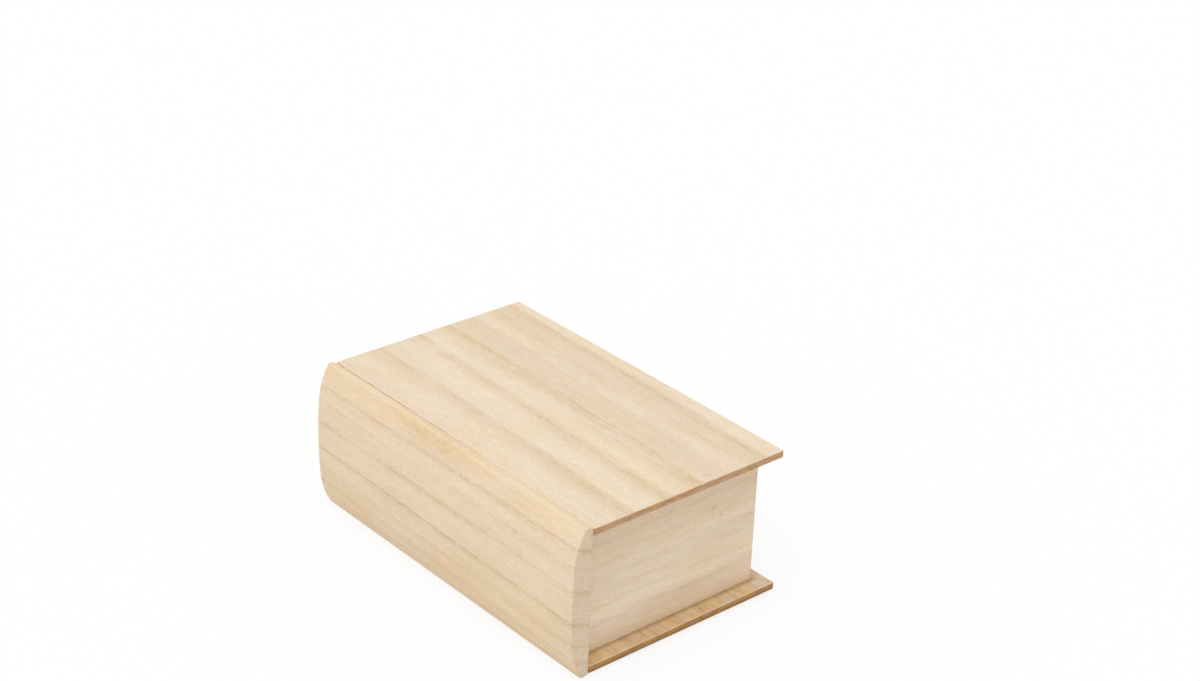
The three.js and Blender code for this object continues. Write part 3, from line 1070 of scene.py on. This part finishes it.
def left_drawer_wood(colours):
    """The drawer's left side: brown bands all the way down its inner face, darker in part as painted shade.
    """
    return {
        **drawer_wood(colours, 6, 1.0),
        "line": colours.drawer_streak,
        "lines": (
            (20.5, 0.5, 1.2, 3.0, 0.5),
            (14.0, 0.75, 1.6, 3.5, 0.5),
            (6.5, 0.9, 1.6, 4.0, 0.6),
            (-1.5, 0.9, 2.2, 3.6, 0.6),
            (-8.5, 0.95, 1.4, 4.0, 0.6),
            (-15.5, 0.85, 2.0, 4.5, 0.6),
            (-22.5, 0.8, 1.6, 4.0, 0.5),
        ),
        "drift": {"slant": 0.5, "slope": 0.05, "wander": 2.8, "wander_length": 30.0, "ripple": 1.5},
    }


def right_drawer_wood(colours):
    """The drawer's right side: four wide brown lines over a pale pink ground."""
    return {
        **drawer_wood(colours, 5, -1.0),
        "lines": (
            (19.0, 0.62, 3.0, 4.5, 0.5),
            (6.8, 0.5, 2.0, 3.2, 0.45),
            (-6.5, 0.55, 2.0, 3.4, 0.5),
            (-19.0, 0.85, 3.5, 8.0, 0.7),
        ),
        "shades": ((25.0, 0.7), (15.0, 0.3), (0.0, 0.1), (-12.0, 0.3), (-20.0, 0.7), (-25.0, 0.9)),
        "drift": {
            "slant": 0.5,
            "slope": 0.01,
            "fan": 0.004,
            "wander": 1.6,
            "wander_length": 40.0,
            "ripple": 1.0,
        },
    }


def board_position(nodes, centre, axes):
    """Object coordinates turned to the board's own frame, in millimetres from its middle."""
    turn = Matrix(axes)
    mapping = nodes.add("Mapping", nodes.add("TexCoord").outputs["Object"])
    values = {
        "Location": -(turn @ Vector(centre)),
        "Rotation": turn.to_euler("XYZ"),
        "Scale": (1 / MM, 1 / MM, 1 / MM),
    }
    return nodes.feed_named(mapping, values)[0]


def add_marks(nodes, face, position, wood):
    """Tints the stained patches of a face, and sets pin knots into it."""
    stain_tint = bpy.context.scene.book_box_colours.stain
    for centre, size in wood.get("stains", ()):
        stain = nodes.group("stain", position=position, centre=centre, size=size)["Stain"]
        face = nodes.tint(stain, face, stain_tint, "MULTIPLY")
    for centre, size in wood.get("knots", ()):
        half = tuple(share * size for share in KNOT_SHAPE)
        knot = nodes.group("pin_knot", position=position, centre=centre, size=half)
        face = nodes.tint(nodes.times(knot["Halo"], HALO_STRENGTH), face, wood["line"])
        face = nodes.tint(nodes.times(knot["Dot"], DOT_STRENGTH), face, wood["line"], "MULTIPLY")
    return face


def tint_inside(nodes, face, position, half, wood):
    """Tints the face of a drawer's board that looks inwards with painted shade: the bottom's all over, a
    wall's more and more below its upper edge."""
    inner, tint = wood["inside"]
    _, across, through = nodes.split(position)
    begins, full = (half[2] - depth for depth in TINT_DEPTHS)
    facing = nodes.smooth(nodes.times(through, inner), begins, full)
    if "upper_edge" not in wood:
        return nodes.tint(facing, face, tint, "MULTIPLY")
    for high, low, least, most in WALL_TINTS:
        below = nodes.smooth(across, high * half[1], low * half[1], least, most)
        face = nodes.tint(nodes.times(facing, below), face, tint, "MULTIPLY")
    return face


def pale_upper_edge(nodes, face, position, side_grain, tone, pale):
    """Makes the upper edge of a drawer's wall pale, but for its fibres."""
    upper = nodes.times(nodes.maths("GREATER_THAN", nodes.split(position)[1], 0.0), side_grain)
    upper = nodes.times(upper, UPPER_EDGE_STRENGTH)
    return nodes.tint(upper, face, nodes.grained(pale, tone, UPPER_EDGE_GRAIN))


def wood_material(name, centre, half, axes, wood):
    """The bare wood of one board, worked out in millimetres from the middle of the board.

    A wood's values are colours (pale, line, shade, edge, end on solid wood, upper_edge on a drawer's
    wall); lines and shades, as ring_lines and ring_shades take them; and drift, fibres and amounts, the
    inputs of the groups ring_drift, fibres and bare_wood. A cut shifts the fibres. Knots are centres and
    sizes, and stains centres and half sizes. Inside is which face looks inwards, 1 or -1, and its tint of
    painted shade.
    A sheet has the rim's colour, warm and dark; core, the strength of its core ply; and maybe core_drop,
    how far that lies below the middle, drawn_back, how far its edge is, and side_ply, the colour of its
    long edges. Foot is half the outline of the walls on it, where the painted shade lies.
    """
    material = bpy.data.materials.new(name)
    material.use_nodes = True
    nodes = Nodes(material.node_tree)
    position = board_position(nodes, centre, axes)
    half = tuple(float(h) for h in half)
    edges = nodes.group("board_edges", position=position, half_size=half, drawn_back=wood.get("drawn_back"))
    grain = position
    if "rim" in wood:
        raised = nodes.vector("ADD", position, (0.0, 0.0, wood.get("core_drop", 0.0)))
        plies = nodes.group("plies", position=raised, half_size=half)
        grain = plies["Grain Position"]
    shifted = nodes.vector("ADD", grain, wood.get("cut", (0.0, 0.0, 0.0)))
    fibres = nodes.group("fibres", position=shifted, **wood["fibres"])
    drift = nodes.group("ring_drift", position=position, **wood["drift"])
    mottle = nodes.group("mottle", position=shifted)
    finish = nodes.group(
        "bare_wood",
        pale=wood["pale"],
        line_colour=wood["line"],
        shade_colour=wood["shade"],
        pore_colour=bpy.context.scene.book_box_colours.pore,
        end_colour=wood.get("end", wood["pale"]),
        edge_colour=wood["edge"],
        lines=ring_lines(nodes, drift["Ring"], wood["lines"]),
        line_strength=drift["Strength"],
        shades=ring_shades(nodes, drift["Ring"], wood["shades"]),
        tone=fibres["Tone"],
        warmth=mottle["Warmth"],
        slow_tone=mottle["Slow Tone"],
        pores=fibres["Pores"],
        end_grain=edges["End Grain"] if "end" in wood else None,
        edge=edges["Edge"],
        **wood["amounts"],
    )
    face = add_marks(nodes, finish["Color"], position, wood)
    # Painted shade on the faces that look into the drawer
    if "inside" in wood:
        face = tint_inside(nodes, face, position, half, wood)
    if "upper_edge" in wood:
        pale = wood["upper_edge"]
        face = pale_upper_edge(nodes, face, position, edges["Side Grain"], fibres["Tone"], pale)
    # Painted shade round the foot of the walls, in the dark colour of the cut edge
    if "foot" in wood:
        dust = nodes.group("corner_dust", position=position, foot=wood["foot"], reach=DUST_REACH)["Dust"]
        face = nodes.tint(nodes.times(dust, DUST_STRENGTH), face, wood["rim"][2])
    if "rim" in wood:
        face = nodes.group(
            "cut_edge",
            position=position,
            face=face,
            edge_colour=wood["rim"][0],
            warm_colour=wood["rim"][1],
            dark_colour=wood["rim"][2],
            side_colour=wood.get("side_ply", wood["pale"]),
            side_grain=edges["Side Grain"],
            rim=edges["Rim"],
            core=plies["Core"],
            core_amount=wood["core"],
            glue=plies["Glue"],
            tone=fibres["Tone"],
        )["Color"]
    height = {"Strength": BUMP_STRENGTH, "Distance": BUMP_DEPTH * MM, "Height": finish["Height"]}
    surface = {
        "Base Color": face,
        "Roughness": finish["Roughness"],
        "Normal": nodes.feed_named(nodes.add("Bump"), height)[0],
        "Specular IOR Level": SPECULAR_LEVEL,
    }
    nodes.feed_named(material.node_tree.nodes["Principled BSDF"], surface)
    arrange(material.node_tree)
    return material


def make_board(node, body, slot, axes, radii, wood):
    """Builds one board as a surface in its node's place, finishes it and puts it on its body."""
    edges = bpy.context.scene.book_box_edges
    centre, half = board_size(node, axes)
    # the edges' unevenness goes by the length of the node's name
    random = np.random.default_rng(len(node) * 7 + 3)
    sizes = [getattr(edges, r) / MM for r in radii]
    rings = board_rings(half, sizes, edges.end_ease / MM, edges.unevenness, random)
    if slot == "cover_ply":
        rings = open_seam(rings, half[1], edges.seam_gap / MM, random)
    points, faces = close_rings(place(rings, axes, centre) * MM)
    made = to_mesh(node + "_board", points, faces)
    made.data.materials.append(wood_material(node + "_wood", centre, half, axes, wood))
    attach(made, body)
    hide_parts(node)


class BookBoxCovers(bpy.types.Operator):
    """Build the two plywood covers"""

    bl_idname = "book_box.covers"
    bl_label = "Covers"

    def execute(self, context):
        colours = context.scene.book_box_colours
        radii = ("arris", "crisp", "crisp", "arris")
        make_board("top_cover", "carcass", "cover_ply", FLAT, radii, cover_wood(colours))
        make_board("bottom_cover", "carcass", "cover_ply", FLAT, radii, ledge_wood(colours))
        return {"FINISHED"}


class BookBoxPanels(bpy.types.Operator):
    """Build the carcass's side and rear panels"""

    bl_idname = "book_box.panels"
    bl_label = "Panels"

    def execute(self, context):
        colours = context.scene.book_box_colours
        radii = ("crisp",) * 4
        slot = "panel_wood"
        make_board("right_side_panel", "carcass", slot, SIDE, radii, side_wood(colours))
        make_board("left_side_panel", "carcass", slot, SIDE, radii, panel_wood(colours, 3))
        make_board("rear_panel", "carcass", slot, UPRIGHT, radii, panel_wood(colours, 4))
        return {"FINISHED"}


class BookBoxSpine(bpy.types.Operator):
    """Build the rounded spine, which is the drawer's front"""

    bl_idname = "book_box.spine"
    bl_label = "Spine"

    def execute(self, context):
        edges = context.scene.book_box_edges
        centre, half = board_size("drawer_front", UPRIGHT)
        rings = spine_rings(half[0], edges.spine_ease / MM, edges.seam_step / MM)
        seam = centre + np.array([0, half[2], 0])
        points, faces = close_rings(place(rings, UPRIGHT, seam) * MM)
        made = to_mesh("spine_board", points, faces)
        wood = spine_wood(context.scene.book_box_colours)
        made.data.materials.append(wood_material("spine_wood", centre, half, UPRIGHT, wood))
        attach(made, "drawer")
        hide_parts("drawer_front")
        return {"FINISHED"}


class BookBoxDrawer(bpy.types.Operator):
    """Build the drawer's sides, back and bottom"""

    bl_idname = "book_box.drawer"
    bl_label = "Drawer"

    def execute(self, context):
        colours = context.scene.book_box_colours
        radii = ("arris", "crisp", "crisp", "arris")
        slot = "drawer_wood"
        make_board("drawer_left_side", "drawer", slot, SIDE, radii, left_drawer_wood(colours))
        make_board("drawer_right_side", "drawer", slot, SIDE, radii, right_drawer_wood(colours))
        make_board("drawer_back", "drawer", slot, UPRIGHT, radii, drawer_wood(colours, 7, 1.0))
        radii = ("crisp", "crisp", "arris", "arris")
        make_board("drawer_bottom", "drawer", "drawer_ply", FLAT, radii, drawer_bottom_wood(colours))
        return {"FINISHED"}


class BookBoxStage(bpy.types.Operator):
    """Set the pale floor, the lamps and the camera"""

    bl_idname = "book_box.stage"
    bl_label = "Stage"

    def execute(self, context):
        scene = context.scene
        light = scene.book_box_light
        make_floor(scene.book_box_colours.floor, light.shadow)
        make_sky(light.sky)
        lamp = bpy.data.lights.new("key_lamp", "SUN")
        lamp.energy = light.key
        lamp.angle = light.softness
        key = bpy.data.objects.new("key_lamp", lamp)
        key.rotation_euler = Vector(KEY_DIRECTION).to_track_quat("Z", "Y").to_euler()
        scene.collection.objects.link(key)
        make_camera(scene)
        scene.view_settings.view_transform = "Standard"
        return {"FINISHED"}


def seen_share(nodes):
    """1 for what the camera sees, directly, in a gloss or through glass."""
    path = nodes.add("LightPath").outputs
    seen = nodes.maths("MAXIMUM", path["Is Camera Ray"], path["Is Glossy Ray"])
    return nodes.maths("MAXIMUM", seen, path["Is Transmission Ray"])


def make_floor(floor_colour, shadow):
    """A square of floor. Other rays meet plain pale floor; the camera sees white, with a share of the
    lamps' light left in, so that the shadow of the box stays."""
    corners = FLOOR_REACH * np.array([(-1, -1, 0), (1, -1, 0), (1, 1, 0), (-1, 1, 0)])
    floor = to_mesh("floor", corners, [(0, 1, 2, 3)])
    material = bpy.data.materials.new("pale_floor")
    material.use_nodes = True
    tree = material.node_tree
    nodes = Nodes(tree)
    tree.nodes.remove(tree.nodes["Principled BSDF"])
    plain = nodes.add("BsdfDiffuse", tuple(floor_colour)).outputs[0]
    white = nodes.add("Emission", (1, 1, 1), 1.0).outputs[0]
    lit = nodes.add("BsdfDiffuse", (1, 1, 1)).outputs[0]
    seen = nodes.add("MixShader", 1 - shadow, lit, white).outputs[0]
    both = nodes.add("MixShader", seen_share(nodes), plain, seen).outputs[0]
    nodes.feed(tree.nodes["Material Output"].inputs["Surface"], both)
    arrange(tree)
    floor.data.materials.append(material)
    floor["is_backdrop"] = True


def make_sky(strength):
    """Even light all round, white where the camera sees it."""
    world = bpy.data.worlds.new("soft_sky")
    world.use_nodes = True
    bpy.context.scene.world = world
    tree = world.node_tree
    nodes = Nodes(tree)
    background = tree.nodes["Background"]
    level = nodes.times_plus(seen_share(nodes), 1 - strength, strength)
    nodes.feed_named(background, {"Color": (1, 1, 1), "Strength": level})
    arrange(tree)


def make_camera(scene):
    """The camera at the photograph's place, turn and field of view."""
    data = bpy.data.cameras.new("camera")
    data.sensor_width = SENSOR_WIDTH
    data.lens = FOCAL_PIXELS / FRAME_WIDTH * SENSOR_WIDTH
    data.clip_start = 0.01
    data.clip_end = 20.0
    camera = bpy.data.objects.new("camera", data)
    turn = Matrix((CAMERA_RIGHT, CAMERA_UP, CAMERA_BACK)).transposed().to_4x4()
    camera.matrix_world = Matrix.Translation(tuple(c * MM for c in CAMERA_AT)) @ turn
    scene.collection.objects.link(camera)
    scene.camera = camera


OPERATORS = (BookBoxCovers, BookBoxPanels, BookBoxSpine, BookBoxDrawer, BookBoxStage)


class BookBoxPanel(bpy.types.Panel):
    """Lists the steps that build the box"""

    bl_idname = "VIEW3D_PT_book_box"
    bl_label = "Book Box"
    bl_space_type = "VIEW_3D"
    bl_region_type = "UI"
    bl_category = "Book Box"

    def draw(self, context):
        layout = self.layout
        for group_name in GROUPS:
            group = getattr(context.scene, group_name)
            box = layout.box()
            for name in group.bl_rna.properties.keys():
                if name not in ("rna_type", "name"):
                    box.prop(group, name)
        for operator in OPERATORS:
            layout.operator(operator.bl_idname)


GROUPS = {
    "book_box_edges": BookBoxEdges,
    "book_box_colours": BookBoxColours,
    "book_box_light": BookBoxLight,
}
CLASSES = (*GROUPS.values(), *OPERATORS, BookBoxPanel)


def register():
    """Registers the classes and puts the property groups on the scene."""
    for each in CLASSES:
        bpy.utils.register_class(each)
    for name, group in GROUPS.items():
        setattr(bpy.types.Scene, name, bpy.props.PointerProperty(type=group))


def unregister():
    """Takes the property groups off the scene and the classes out."""
    for name in GROUPS:
        delattr(bpy.types.Scene, name)
    for each in reversed(CLASSES):
        bpy.utils.unregister_class(each)


def main():
    """Builds everything and works out the size of the CAD model and of the dressed one."""
    register()
    make_groups()
    for operator in OPERATORS:
        category, name = operator.bl_idname.split(".")
        getattr(getattr(bpy.ops, category), name)()
    sizes = {
        "cad": [list(corner) for corner in CAD_BOUNDS],
        "visual": [list(corner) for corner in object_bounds()],
    }


if __name__ == "__main__":
    main()
